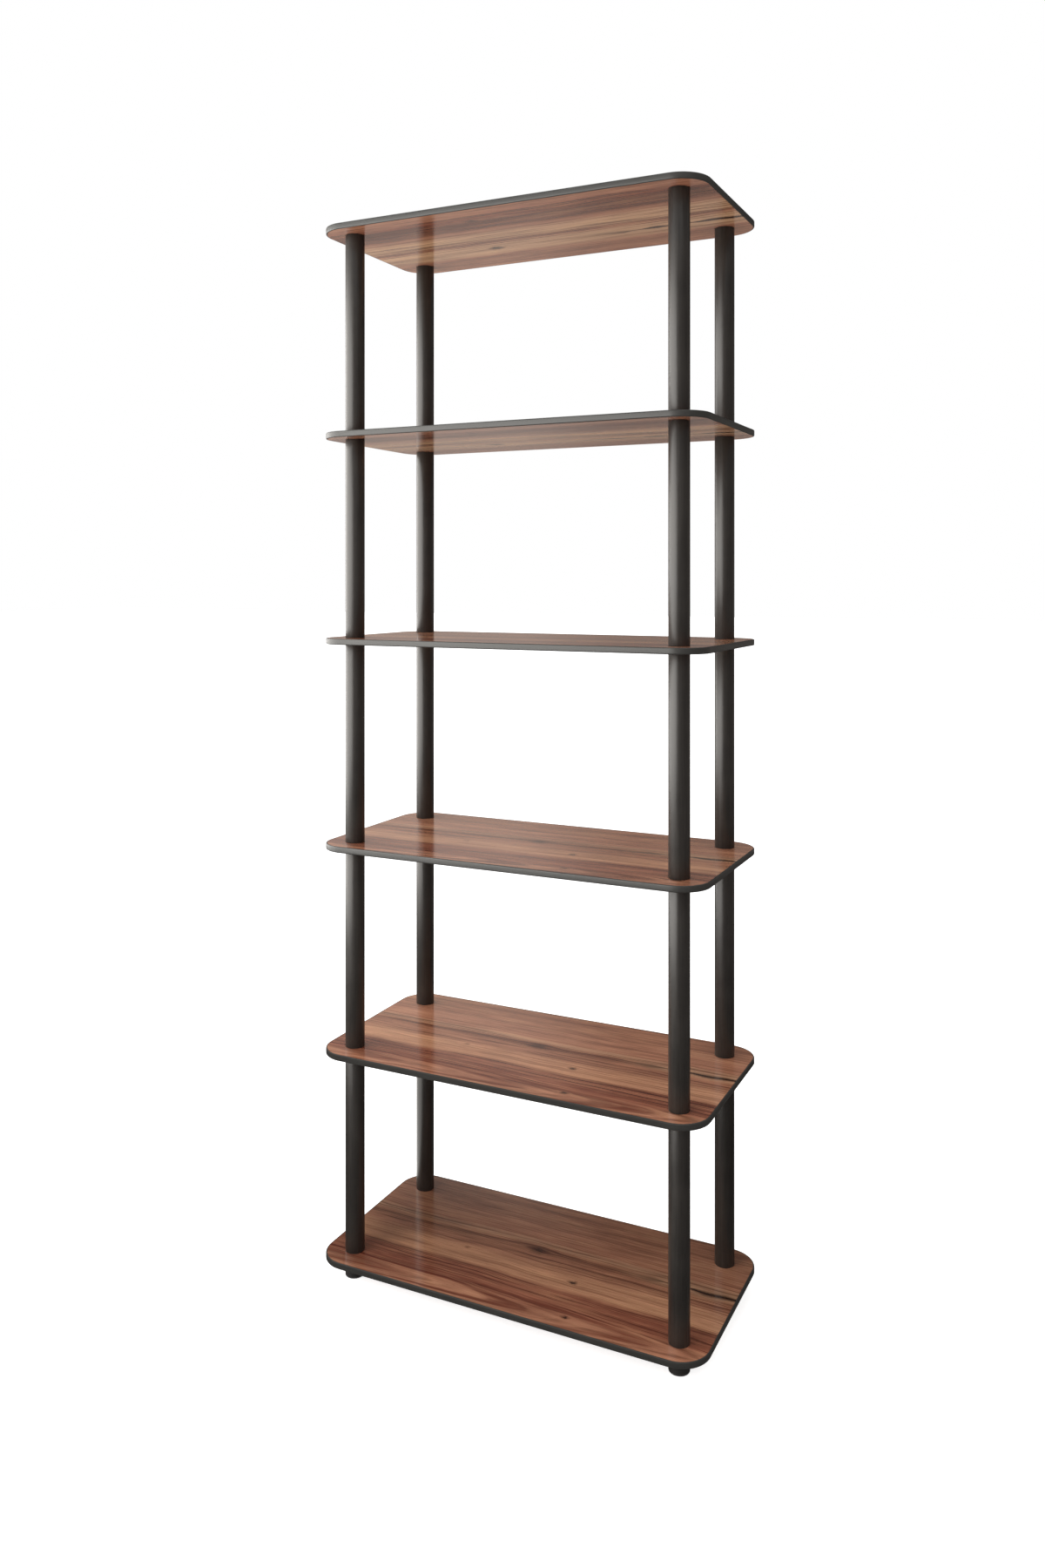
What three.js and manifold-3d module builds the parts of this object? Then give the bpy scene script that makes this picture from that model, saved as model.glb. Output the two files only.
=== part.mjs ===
// A bookcase of six open shelves on four posts, put together without tools.
//
// Each post is a stack of plastic tubes. The stud under a tube passes through a hole in the shelf below it
// and screws into the socket of the next tube down, or of the foot, so each shelf is clamped between two
// tube ends. A low cap with a stud of its own closes the top of each post. A plastic strip with a tongue is
// pushed into a groove round the edge of each shelf.
//
// Sizes are in millimetres. +X runs to the right along a shelf, +Y to the back and +Z up.
// The origin is on the floor, under the middle of the shelves.

import * as THREE from "three";
import { mergeVertices } from "three/addons/utils/BufferGeometryUtils.js";
import Module from "manifold-3d";

const wasm = await Module();
wasm.setup();

// Shelves and posts
const shelfCount = 6;
const shelfLength = 600; // overall, with the edge trim
const shelfDepth = 295; // overall, with the edge trim
const shelfCornerRadius = 43.5;
const boardThickness = 9;
const postInset = 43.5; // from the shelf's outer edges to a post's axis
const tubeDiameter = 29;
const tubeLength = 298.8;
const footHeight = 28;
const capHeight = 7;
const seatGap = 0.1; // between faces that bear on each other

// Screw joint, the same in plugs, caps, tubes and feet
const studDiameter = 12;
const studTipChamfer = 1;
const studReach = 15; // how far a stud goes into the socket below the shelf
const studHoleClearance = 0.5; // round the stud in the board, on the radius
const socketClearance = 0.2; // round the stud in its socket, on the radius
const socketSpareDepth = 3; // below the stud's tip
const socketBossWall = 2.4;

// Tube, and the plug that is pressed into its lower end
const tubeWall = 1.8;
const socketDiscThickness = 3;
const plugClearance = 0.2; // round the plug, on the radius
const plugDiscThickness = 3;
const plugSkirtWall = 1.8;
const plugSkirtLength = 16; // from the tube's end to the skirt's rim

// Edge trim
const trimThickness = 2;
const trimEdgeSetback = 1.4; // how far its eased edge comes in from its face
const trimEdgeDrop = 1.6; // how far its eased edge comes down from the top
const trimClearance = 0.15; // between the strip and the board's edge
const tongueDepth = 6;
const tongueThickness = 1.6;
const grooveSideClearance = 0.2;
const grooveEndClearance = 0.5;
const trimSeam = 0.4; // where the strip's ends meet, at the middle of the back

// Foot and cap
const footWall = 2.4;
const footFloor = 4;
const footEdgeChamfer = 1.2;
const footRibThickness = 1.6;
const footRibDrop = 2.4; // from the rim down to the ribs
const capRimHeight = 3.6; // straight part below the dome
const capDomeReachShare = 0.45; // of the radius, how far in from the rim the dome's curve runs

// Facets and cuts
const cornerCurveSegments = 3; // each gives two facets on a shelf's corner
const roundSteps = 20; // round the outside of a tube
const boreSteps = 10; // round the inside of a tube
const studSteps = 8; // round a stud and its socket
const domeSteps = 2;
const footRibCount = 4;
const overrun = 1; // how far a cutter runs past the face that it opens

// Sizes that follow from these
const tubeRadius = tubeDiameter / 2;
const tubeBoreRadius = tubeRadius - tubeWall;
const studRadius = studDiameter / 2;
const studHoleRadius = studRadius + studHoleClearance;
const studLength = seatGap + boardThickness + seatGap + studReach; // below a tube's or cap's end face
const socketRadius = studRadius + socketClearance;
const socketBossRadius = socketRadius + socketBossWall;
const socketDepth = studReach + socketSpareDepth;
const shelfPitch = boardThickness + seatGap + tubeLength + seatGap;
const firstShelfBottom = footHeight + seatGap;
const postX = shelfLength / 2 - postInset;
const postY = shelfDepth / 2 - postInset;

const corners = [
  { name: "front_left", x: -postX, y: -postY },
  { name: "front_right", x: postX, y: -postY },
  { name: "back_left", x: -postX, y: postY },
  { name: "back_right", x: postX, y: postY },
];

// Materials
const woodDecor = new THREE.MeshStandardMaterial({ color: "#7d4b35", roughness: 0.3, metalness: 0 });
const charcoalTrim = new THREE.MeshStandardMaterial({ color: "#3a3937", roughness: 0.45, metalness: 0 });
const charcoalTube = new THREE.MeshStandardMaterial({ color: "#34322f", roughness: 0.4, metalness: 0 });
const blackMoulding = new THREE.MeshStandardMaterial({ color: "#262523", roughness: 0.5, metalness: 0 });

// Turns a closed three.js geometry into a solid that can be joined and cut.
function solid(geometry) {
  const bare = geometry.clone();
  bare.deleteAttribute("normal");
  bare.deleteAttribute("uv");
  const merged = mergeVertices(bare);
  const mesh = new wasm.Mesh({
    numProp: merged.attributes.position.itemSize,
    vertProperties: merged.attributes.position.array,
    triVerts: Uint32Array.from(merged.index.array),
  });
  return new wasm.Manifold(mesh);
}

// Turns a solid back into a geometry with flat faces.
function geometryOf(manifold) {
  const mesh = manifold.getMesh();
  const geometry = new THREE.BufferGeometry();
  geometry.setAttribute("position", new THREE.BufferAttribute(mesh.vertProperties, mesh.numProp));
  geometry.setIndex(new THREE.BufferAttribute(mesh.triVerts, 1));
  const faceted = geometry.toNonIndexed();
  faceted.computeVertexNormals();
  return faceted;
}

// A solid of revolution about Z. Each point of the profile is [radius, z].
function revolve(profile, steps) {
  const points = profile.map(([radius, z]) => new THREE.Vector2(radius, z));
  const geometry = new THREE.LatheGeometry(points, steps);
  geometry.rotateX(Math.PI / 2);
  return solid(geometry);
}

// An upright cylinder from z = bottom.
function cylinder(radius, bottom, height, steps, x = 0, y = 0) {
  const geometry = new THREE.CylinderGeometry(radius, radius, height, steps);
  geometry.rotateX(Math.PI / 2);
  geometry.translate(x, y, bottom + height / 2);
  return solid(geometry);
}

// A stud below z = 0, and on up to a height where what carries it is joined to it.
function stud(top) {
  const profile = [
    [0, -studLength],
    [studRadius - studTipChamfer, -studLength],
    [studRadius, studTipChamfer - studLength],
    [studRadius, top],
    [0, top],
  ];
  return revolve(profile, studSteps);
}

// The shelf's rounded outline, brought in by a distance all round.
function shelfOutline(inset) {
  const radius = shelfCornerRadius - inset;
  const x = shelfLength / 2 - shelfCornerRadius;
  const y = shelfDepth / 2 - shelfCornerRadius;
  const quarter = Math.PI / 2;
  const shape = new THREE.Shape();
  shape.absarc(x, y, radius, 0, quarter);
  shape.absarc(-x, y, radius, quarter, 2 * quarter);
  shape.absarc(-x, -y, radius, 2 * quarter, 3 * quarter);
  shape.absarc(x, -y, radius, 3 * quarter, 4 * quarter);
  return shape;
}

// A plate with the shelf's outline and straight edges, from z = bottom.
function plate(inset, bottom, thickness) {
  const geometry = new THREE.ExtrudeGeometry(shelfOutline(inset), {
    depth: thickness,
    curveSegments: cornerCurveSegments,
    bevelEnabled: false,
  });
  geometry.translate(0, 0, bottom);
  return solid(geometry);
}

// The outer form of a shelf, with its upper and lower edges eased all round.
function easedPlate() {
  const geometry = new THREE.ExtrudeGeometry(shelfOutline(trimEdgeSetback), {
    depth: boardThickness - 2 * trimEdgeDrop,
    curveSegments: cornerCurveSegments,
    bevelEnabled: true,
    bevelSegments: 1,
    bevelSize: trimEdgeSetback,
    bevelThickness: trimEdgeDrop,
  });
  geometry.translate(0, 0, trimEdgeDrop);
  return solid(geometry);
}

// A ring between two insets of the outline, at the middle of the board's thickness.
function edgeRing(outerInset, innerInset, thickness) {
  const bottom = (boardThickness - thickness) / 2;
  const outer = plate(outerInset, bottom, thickness);
  const inner = plate(innerInset, bottom - overrun, thickness + 2 * overrun);
  return outer.subtract(inner);
}

// Board: pressed wood with a groove round its edge and a stud hole at each post.
function shelfBoard() {
  const grooveHeight = tongueThickness + 2 * grooveSideClearance;
  const grooveEnd = trimThickness + tongueDepth + grooveEndClearance;
  const groove = edgeRing(trimThickness - overrun, grooveEnd, grooveHeight);
  let board = plate(trimThickness, 0, boardThickness).subtract(groove);
  for (const { x, y } of corners) {
    const hole = cylinder(studHoleRadius, -overrun, boardThickness + 2 * overrun, studSteps, x, y);
    board = board.subtract(hole);
  }
  return geometryOf(board);
}

// Trim: a strip with eased edges and a tongue on its inner face, cut through once at the back.
function edgeTrim() {
  const innerFace = trimThickness - trimClearance;
  const hollow = plate(innerFace, -overrun, boardThickness + 2 * overrun);
  const tongueRoot = innerFace / 2;
  const tongueTip = trimThickness + tongueDepth;
  const tongue = edgeRing(tongueRoot, tongueTip, tongueThickness);
  const seam = new THREE.BoxGeometry(trimSeam, tongueTip + 2 * overrun, boardThickness + 2 * overrun);
  seam.translate(0, (shelfDepth - tongueTip) / 2, boardThickness / 2);
  return geometryOf(easedPlate().subtract(hollow).add(tongue).subtract(solid(seam)));
}

// Tube: a length of pipe with the socket that is glued into its upper end.
function tube() {
  const discBottom = tubeLength - socketDiscThickness;
  const bossBottom = tubeLength - socketDepth;
  const pipe = cylinder(tubeRadius, 0, tubeLength, roundSteps);
  const bore = cylinder(tubeBoreRadius, -overrun, discBottom + overrun, boreSteps);
  const boss = cylinder(socketBossRadius, bossBottom, socketDepth - socketDiscThickness / 2, studSteps);
  const socket = cylinder(socketRadius, bossBottom - overrun, socketDepth + 2 * overrun, studSteps);
  return geometryOf(pipe.subtract(bore).add(boss).subtract(socket));
}

// Plug: a cup that is pressed into a tube's lower end, with the stud under it.
function studPlug() {
  const plugRadius = tubeBoreRadius - plugClearance;
  const skirtBore = plugRadius - plugSkirtWall;
  const profile = [
    [0, 0],
    [plugRadius, 0],
    [plugRadius, plugSkirtLength],
    [skirtBore, plugSkirtLength],
    [skirtBore, plugDiscThickness],
    [0, plugDiscThickness],
  ];
  const cup = revolve(profile, boreSteps);
  return geometryOf(cup.add(stud(plugDiscThickness / 2)));
}

// Foot: a moulded drum with a closed floor and a ribbed socket that opens upwards.
function foot() {
  const profile = [
    [0, 0],
    [tubeRadius - footEdgeChamfer, 0],
    [tubeRadius, footEdgeChamfer],
    [tubeRadius, footHeight],
    [0, footHeight],
  ];
  const drum = revolve(profile, roundSteps);
  const hollow = cylinder(tubeRadius - footWall, footFloor, footHeight - footFloor + overrun, boreSteps);
  let body = drum.subtract(hollow);
  const ribBottom = footFloor / 2;
  const ribTop = footHeight - footRibDrop;
  for (let i = 0; i < footRibCount / 2; i += 1) {
    const rib = new THREE.BoxGeometry(tubeDiameter - footWall, footRibThickness, ribTop - ribBottom);
    rib.translate(0, 0, (ribTop + ribBottom) / 2);
    rib.rotateZ((2 * Math.PI * i) / footRibCount);
    body = body.add(solid(rib));
  }
  body = body.add(cylinder(socketBossRadius, ribBottom, footHeight - ribBottom, studSteps));
  const socket = cylinder(socketRadius, footHeight - socketDepth, socketDepth + overrun, studSteps);
  return geometryOf(body.subtract(socket));
}

// Cap: a low dome on the top shelf, with a stud that goes down through the shelf.
function cap() {
  const profile = [
    [0, 0],
    [tubeRadius, 0],
  ];
  for (let i = 0; i <= domeSteps; i += 1) {
    const angle = (Math.PI / 2) * (i / domeSteps);
    const radius = tubeRadius * (1 - capDomeReachShare * (1 - Math.cos(angle)));
    const z = capRimHeight + (capHeight - capRimHeight) * Math.sin(angle);
    profile.push([radius, z]);
  }
  profile.push([0, capHeight]);
  return geometryOf(revolve(profile, roundSteps).add(stud(capRimHeight)));
}

// A named mesh at a place in its group.
function piece(name, geometry, material, x, y, z) {
  const mesh = new THREE.Mesh(geometry, material);
  mesh.name = name;
  mesh.position.set(x, y, z);
  return mesh;
}

const boardGeometry = shelfBoard();
const trimGeometry = edgeTrim();
const tubeGeometry = tube();
const plugGeometry = studPlug();
const footGeometry = foot();
const capGeometry = cap();

const bookcase = new THREE.Group();

for (const { name, x, y } of corners) {
  bookcase.add(piece(`foot_${name}`, footGeometry, blackMoulding, x, y, 0));
}

// Shelves are numbered from the floor up, and a tube has the number of the shelf that it stands on.
for (let number = 1; number <= shelfCount; number += 1) {
  const level = new THREE.Group();
  level.position.z = firstShelfBottom + (number - 1) * shelfPitch;
  level.add(piece(`shelf_board_${number}`, boardGeometry, woodDecor, 0, 0, 0));
  level.add(piece(`edge_trim_${number}`, trimGeometry, charcoalTrim, 0, 0, 0));
  const seat = boardThickness + seatGap;
  for (const { name, x, y } of corners) {
    if (number < shelfCount) {
      level.add(piece(`tube_${name}_${number}`, tubeGeometry, charcoalTube, x, y, seat));
      level.add(piece(`stud_plug_${name}_${number}`, plugGeometry, blackMoulding, x, y, seat));
    } else {
      level.add(piece(`cap_${name}`, capGeometry, blackMoulding, x, y, seat));
    }
  }
  bookcase.add(level);
}

export default bookcase;
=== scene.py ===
# %% [markdown]
# # A tool-free bookcase, dressed for its picture
#
# The bookcase is six thin laminated shelves clamped between stacked plastic tubes. Its structure comes
# ready made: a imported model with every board, strip, tube, plug, foot and cap in place. This script puts
# a finer piece in the place of each one that shows, gives all of them their finish, and sets the camera and
# the lights as in the photograph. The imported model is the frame, so the main sizes are read from it.

# %% Load the frame
import math

import bmesh
import bpy
from mathutils import Matrix, Vector


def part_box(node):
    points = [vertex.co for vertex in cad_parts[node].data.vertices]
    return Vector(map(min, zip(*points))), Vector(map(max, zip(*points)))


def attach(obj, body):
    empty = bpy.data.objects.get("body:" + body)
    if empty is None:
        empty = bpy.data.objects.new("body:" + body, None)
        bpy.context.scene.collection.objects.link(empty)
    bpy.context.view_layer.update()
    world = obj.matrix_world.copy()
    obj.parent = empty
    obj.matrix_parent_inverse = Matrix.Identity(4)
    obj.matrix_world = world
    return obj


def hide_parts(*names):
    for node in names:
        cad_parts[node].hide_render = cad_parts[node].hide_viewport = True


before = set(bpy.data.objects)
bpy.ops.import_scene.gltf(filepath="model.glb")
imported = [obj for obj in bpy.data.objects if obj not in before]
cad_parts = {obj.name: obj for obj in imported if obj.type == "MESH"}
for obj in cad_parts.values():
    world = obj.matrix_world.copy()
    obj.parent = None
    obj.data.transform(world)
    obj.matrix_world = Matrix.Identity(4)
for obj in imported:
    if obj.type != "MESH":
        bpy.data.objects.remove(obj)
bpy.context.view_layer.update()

MM = 0.001

# %% [markdown]
# ## The camera
#
# The photograph was taken level, a little above the middle of the bookcase, from its front right. A level
# camera keeps upright lines upright, and the picture was then cropped low, which a lens shift repeats. The
# values come from matching the outlines of all six shelves and four posts, so they are given in the
# photograph's own pixels where that is what was measured.

# %% Camera
PHOTO_HEIGHT = 1800  # pixels, with 1200 across
FOCAL_PIXELS = 1402.7
HORIZON_PIXEL = 663.2
SENSOR_MM = 36
CAMERA_PLACE = (779.9 * MM, -1653.2 * MM, 1051.6 * MM)
CAMERA_TURN = 0.4534  # radians to the left of straight ahead

bpy.context.scene.view_settings.view_transform = "Standard"
camera_data = bpy.data.cameras.new("camera")
camera_data.sensor_width = SENSOR_MM
camera_data.lens = FOCAL_PIXELS / PHOTO_HEIGHT * SENSOR_MM
camera_data.shift_y = (HORIZON_PIXEL - PHOTO_HEIGHT / 2) / PHOTO_HEIGHT
camera = bpy.data.objects.new("camera", camera_data)
camera.location = CAMERA_PLACE
camera.rotation_euler = (math.pi / 2, 0, CAMERA_TURN)
bpy.context.collection.objects.link(camera)
bpy.context.scene.camera = camera
print("lens", round(camera_data.lens, 2), "mm, shift", round(camera_data.shift_y, 4))

# %% [markdown]
# ## Colours and nodes
#
# Colours are easiest to pick as the hex values of a picture, but a shader works in linear light, so one
# function turns them. Each material below is a tree of nodes, and one other function adds a node with its
# settings and links and hands back the socket that the next node reads. So the code follows each material
# from its pattern to its surface.


# %% Helpers for materials
def linear(hex_colour):
    """An sRGB hex colour as the linear colour that a shader takes."""
    channels = [int(hex_colour[i : i + 2], 16) / 255 for i in (1, 3, 5)]
    return (*(c / 12.92 if c <= 0.04045 else ((c + 0.055) / 1.055) ** 2.4 for c in channels), 1)


def add_node(tree, kind, inputs=None, output=0, stops=None, **settings):
    """Adds a node, sets its properties and ramp stops, fills or links its inputs, and returns an output."""
    node = tree.nodes.new(kind)
    for name, value in settings.items():
        setattr(node, name, value)
    for name, value in (inputs or {}).items():
        if isinstance(value, bpy.types.NodeSocket):
            tree.links.new(value, node.inputs[name])
        else:
            node.inputs[name].default_value = value
    if stops:
        elements = node.color_ramp.elements
        elements.remove(elements[-1])
        elements[0].position, elements[0].color = stops[0]
        for position, colour in stops[1:]:
            elements.new(position).color = colour
    return None if output is None else node.outputs[output]


def new_material(name):
    """An empty material, and its tree of nodes."""
    material = bpy.data.materials.new(name)
    material.use_nodes = True
    material.node_tree.nodes.clear()
    return material, material.node_tree


def grey(value):
    """A grey of a ramp that stands for a plain number."""
    return (value, value, value, 1)


# %% [markdown]
# ## Walnut decor board
#
# The shelves are pressed wood with a printed decor paper on both faces, under clear melamine with a
# semi-gloss. The print shows straight walnut grain along the shelf, arched grain along the front where the
# log was cut near its heart, a few knots, and one dark split towards the right end. It could be drawn with a
# stretched noise alone, but that never gives arches. A sawn log explains them: growth rings are nearly
# parallel to the shelf, and the cut crosses them at a very small angle. So the lines here follow the
# distance from a log's axis, which gives straight lines far from the axis and arches near it.

# %% Walnut decor: place on the board, in millimetres, and which face it is
walnut, tree = new_material("walnut_decor_melamine_board")
OTHER_SHEET = 4000  # mm up, where the lower face takes its print from, so that the two faces differ

metres = add_node(tree, "ShaderNodeTexCoord", output="Object")
place = add_node(tree, "ShaderNodeVectorMath", {0: metres, "Scale": 1 / MM}, operation="SCALE")
facing = add_node(tree, "ShaderNodeNewGeometry", output="True Normal")
facing = add_node(tree, "ShaderNodeSeparateXYZ", {0: facing}, "Z")
lower_face = add_node(tree, "ShaderNodeMath", {0: facing, 1: 0}, operation="LESS_THAN")
other_sheet = add_node(tree, "ShaderNodeCombineXYZ", {2: lower_face})
place = add_node(
    tree,
    "ShaderNodeVectorMath",
    {0: other_sheet, 1: (0, 0, OTHER_SHEET), 2: place},
    operation="MULTIPLY_ADD",
)
along = add_node(tree, "ShaderNodeSeparateXYZ", {0: place}, "X")
across = add_node(tree, "ShaderNodeSeparateXYZ", {0: place}, "Y")
up = add_node(tree, "ShaderNodeSeparateXYZ", {0: place}, "Z")
straight_across = across  # for the knots and the split, which don't follow the wavers
print("lower face printed from", OTHER_SHEET, "mm up")

# %% Walnut decor: the grain wavers from side to side
# Each waver has a length and a width, and how far it leads the grain to either side, in mm.
WAVERS = [(260, 75, 11), (80, 26, 2.4), (26, 9, 0.8)]
UPWARD_SCALE = 0.001  # per mm, just enough to give each face its own wavers

for length, width, reach in WAVERS:
    stretched = add_node(
        tree,
        "ShaderNodeVectorMath",
        {0: place, 1: (1 / length, 1 / width, UPWARD_SCALE)},
        operation="MULTIPLY",
    )
    waver = add_node(tree, "ShaderNodeTexNoise", {"Vector": stretched, "Scale": 1, "Detail": 2})
    waver = add_node(
        tree, "ShaderNodeMapRange", {"Value": waver, "To Min": -reach, "To Max": reach}, clamp=False
    )
    across = add_node(tree, "ShaderNodeMath", {0: across, 1: waver}, operation="ADD")
print("wavers:", len(WAVERS))

# %% Walnut decor: knots push the grain apart
# Each knot is a place along and across the board, a size in mm, how dark it is, and 1 for the lower face.
KNOTS = [
    (74, -41, 3.3, 1.0, 0),
    (97, -121, 3.0, 0.95, 0),
    (-5, 15, 7.5, 0.7, 0),
    (-107, -25, 2.4, 0.5, 0),
    (-95, 50, 6.5, 0.9, 1),
    (-62, -95, 4.5, 0.8, 1),
]
KNOT_LENGTH, KNOT_WIDTH = 8, 3  # reach of a knot's swirl, in its own sizes
SWIRL_HOLD = 0.85  # how firmly a knot holds the grain, up to 1, so that the lines beside it pass round it
HEART_ALONG, HEART_ACROSS = 0.5, 0.8  # the dark heart is a little longer than wide
HEART_REACH = 1.6
OTHER_FACE = 2  # further than a heart reaches, so that it shows on one face only
RAGGED = 9.0  # mm that a heart's outline strays
RAGGED_SPACING = 7.0  # mm from bump to bump

ragged = add_node(
    tree, "ShaderNodeVectorMath", {0: place, "Scale": 1 / RAGGED_SPACING}, operation="SCALE"
)
ragged = add_node(tree, "ShaderNodeTexNoise", {"Vector": ragged, "Scale": 1, "Detail": 2}, "Color")
ragged = add_node(
    tree,
    "ShaderNodeVectorMath",
    {0: ragged, 1: (RAGGED, RAGGED, 0), 2: (-RAGGED / 2, -RAGGED / 2, 0)},
    operation="MULTIPLY_ADD",
)
knot_heart = 0
for knot_along, knot_across, size, darkness, face in KNOTS:
    offset_along = add_node(tree, "ShaderNodeMath", {0: along, 1: knot_along}, operation="SUBTRACT")
    offset_across = add_node(
        tree, "ShaderNodeMath", {0: straight_across, 1: knot_across}, operation="SUBTRACT"
    )
    other_face = add_node(tree, "ShaderNodeMath", {0: lower_face, 1: face}, operation="SUBTRACT")
    offset = add_node(
        tree, "ShaderNodeCombineXYZ", {0: offset_along, 1: offset_across, 2: other_face}
    )
    ragged_offset = add_node(tree, "ShaderNodeVectorMath", {0: offset, 1: ragged}, operation="ADD")
    offset = add_node(
        tree,
        "ShaderNodeVectorMath",
        {0: offset, 1: (1 / (KNOT_LENGTH * size), 1 / (KNOT_WIDTH * size), 1)},
        operation="MULTIPLY",
    )
    reach = add_node(tree, "ShaderNodeVectorMath", {0: offset}, "Value", operation="LENGTH")
    swirl = add_node(
        tree,
        "ShaderNodeMapRange",
        {"Value": reach, "To Min": SWIRL_HOLD, "To Max": 0},
        interpolation_type="SMOOTHERSTEP",
    )
    held = add_node(tree, "ShaderNodeMath", {0: offset_across, 1: swirl}, operation="MULTIPLY")
    across = add_node(tree, "ShaderNodeMath", {0: across, 1: held}, operation="SUBTRACT")
    heart = add_node(
        tree,
        "ShaderNodeVectorMath",
        {0: ragged_offset, 1: (HEART_ALONG / size, HEART_ACROSS / size, OTHER_FACE)},
        operation="MULTIPLY",
    )
    heart = add_node(tree, "ShaderNodeVectorMath", {0: heart}, "Value", operation="LENGTH")
    heart = add_node(
        tree,
        "ShaderNodeMapRange",
        {"Value": heart, "From Max": HEART_REACH, "To Min": darkness, "To Max": 0},
        interpolation_type="SMOOTHSTEP",
    )
    knot_heart = add_node(tree, "ShaderNodeMath", {0: heart, 1: knot_heart}, operation="MAXIMUM")
print("knots:", len(KNOTS))

# %% Walnut decor: distance from the log's axis
LOG_AXIS_ACROSS = -128.0
LOG_AXIS_START = -400.0  # mm along, beyond the left end, where the axis would come out of the board
LOG_AXIS_SLOPE = 0.05  # how fast the axis leaves the board, in mm for each mm along it
LOWER_AXIS_SHIFT = 70  # the lower face is cut further from the heart, so it has no arches

beside_axis = add_node(tree, "ShaderNodeMath", {0: across, 1: LOG_AXIS_ACROSS}, operation="SUBTRACT")
beside_axis = add_node(
    tree,
    "ShaderNodeMath",
    {0: lower_face, 1: LOWER_AXIS_SHIFT, 2: beside_axis},
    operation="MULTIPLY_ADD",
)
below_axis = add_node(
    tree,
    "ShaderNodeMath",
    {0: along, 1: LOG_AXIS_SLOPE, 2: -LOG_AXIS_START * LOG_AXIS_SLOPE},
    operation="MULTIPLY_ADD",
)
from_axis = add_node(tree, "ShaderNodeCombineXYZ", {0: beside_axis, 1: below_axis})
ring = add_node(tree, "ShaderNodeVectorMath", {0: from_axis}, "Value", operation="LENGTH")
print("log's axis:", LOG_AXIS_ACROSS, "mm across, where arches show")

# %% Walnut decor: colour of each zone across the board
# Sapwood is tan, heartwood red to purple brown. The lower face shows more sapwood.
BOARD_HALF_DEPTH = 147.5
PALE_ROSE = linear("#C4916E")
ROSE_BROWN = linear("#A8745A")
MID_BROWN = linear("#94654C")
RED_HEART = linear("#7E4331")
DARK_BROWN = linear("#764B3A")
PURPLE_BROWN = linear("#5E372B")
TAN = linear("#BC9474")
SAPWOOD = linear("#DDB58C")

# Each zone has a place in mm from the middle of the board, and a colour.
UPPER_ZONES = [
    (-126, ROSE_BROWN),
    (-110, RED_HEART),
    (-70, RED_HEART),
    (-58, PALE_ROSE),
    (-26, PALE_ROSE),
    (-10, ROSE_BROWN),
    (8, MID_BROWN),
    (20, MID_BROWN),
    (32, TAN),
    (44, ROSE_BROWN),
    (76, ROSE_BROWN),
    (104, MID_BROWN),
    (136, MID_BROWN),
]
LOWER_ZONES = [
    (-132, ROSE_BROWN),
    (-104, RED_HEART),
    (-90, PURPLE_BROWN),
    (-58, PURPLE_BROWN),
    (-44, ROSE_BROWN),
    (-20, SAPWOOD),
    (2, SAPWOOD),
    (16, ROSE_BROWN),
    (34, SAPWOOD),
    (70, SAPWOOD),
    (88, ROSE_BROWN),
    (112, MID_BROWN),
    (136, ROSE_BROWN),
]


def zone_ramp(zones):
    """Ramp stops from places across the board, which a ramp takes as shares of its depth."""
    return [(0.5 + middle / (2 * BOARD_HALF_DEPTH), tint) for middle, tint in zones]


zone = add_node(
    tree,
    "ShaderNodeMapRange",
    {"Value": across, "From Min": -BOARD_HALF_DEPTH, "From Max": BOARD_HALF_DEPTH},
)
upper = add_node(tree, "ShaderNodeValToRGB", {0: zone}, stops=zone_ramp(UPPER_ZONES))
lower = add_node(tree, "ShaderNodeValToRGB", {0: zone}, stops=zone_ramp(LOWER_ZONES))
colour = add_node(
    tree, "ShaderNodeMix", {"Factor": lower_face, "A": upper, "B": lower}, "Result", data_type="RGBA"
)
print("zones:", len(UPPER_ZONES), "above and", len(LOWER_ZONES), "below")

# %% Walnut decor: patches where the colour drifts
# A patch is about 150 mm long and 22 mm wide. The last scale gives each board and face its own patches.
DRIFT_SCALES = (1 / 150, 1 / 22, 0.003)
DRIFT_STOPS = [(0.34, DARK_BROWN), (0.5, ROSE_BROWN), (0.66, PALE_ROSE)]
DRIFT_SHARE = 0.42

drift_place = add_node(tree, "ShaderNodeVectorMath", {0: place, 1: DRIFT_SCALES}, operation="MULTIPLY")
drift = add_node(
    tree, "ShaderNodeTexNoise", {"Vector": drift_place, "Scale": 1, "Detail": 5, "Roughness": 0.66}
)
drift = add_node(tree, "ShaderNodeValToRGB", {0: drift}, stops=DRIFT_STOPS)
colour = add_node(
    tree, "ShaderNodeMix", {"Factor": DRIFT_SHARE, "A": colour, "B": drift}, "Result", data_type="RGBA"
)
print("drifting colour:", DRIFT_SHARE)

# %% Walnut decor: growth lines
# Each scale is the spacing of its lines in mm, how far they stray from even spacing, where on the wave a
# line starts (near 1 is a thin line), and how dark it gets.
LINE_SCALES = [(19, 1.6, -0.1, 0.4), (6.2, 1.7, 0.3, 0.85), (3.1, 2.2, 0.2, 0.62)]
LINE_BROWN = linear("#4A2217")
LINE_WANDER = 0.6  # how often the straying changes, for each line

# Lines are strong in the heartwood near the front and in a bundle at the middle, and faint elsewhere.
STRONG_AND_FAINT = [
    (-124, 0.5),
    (-110, 0.95),
    (-68, 1),
    (-60, 0.4),
    (-26, 0.42),
    (-10, 0.85),
    (24, 1),
    (36, 0.55),
    (60, 0.5),
    (130, 0.45),
]

# They also fade out and return over stretches about 200 mm long and 13 mm wide.
FADE_SCALES = (1 / 200, 1 / 13, 0.002)
FADE_START, FADE_END, FAINTEST = 0.36, 0.58, 0.15

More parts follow.
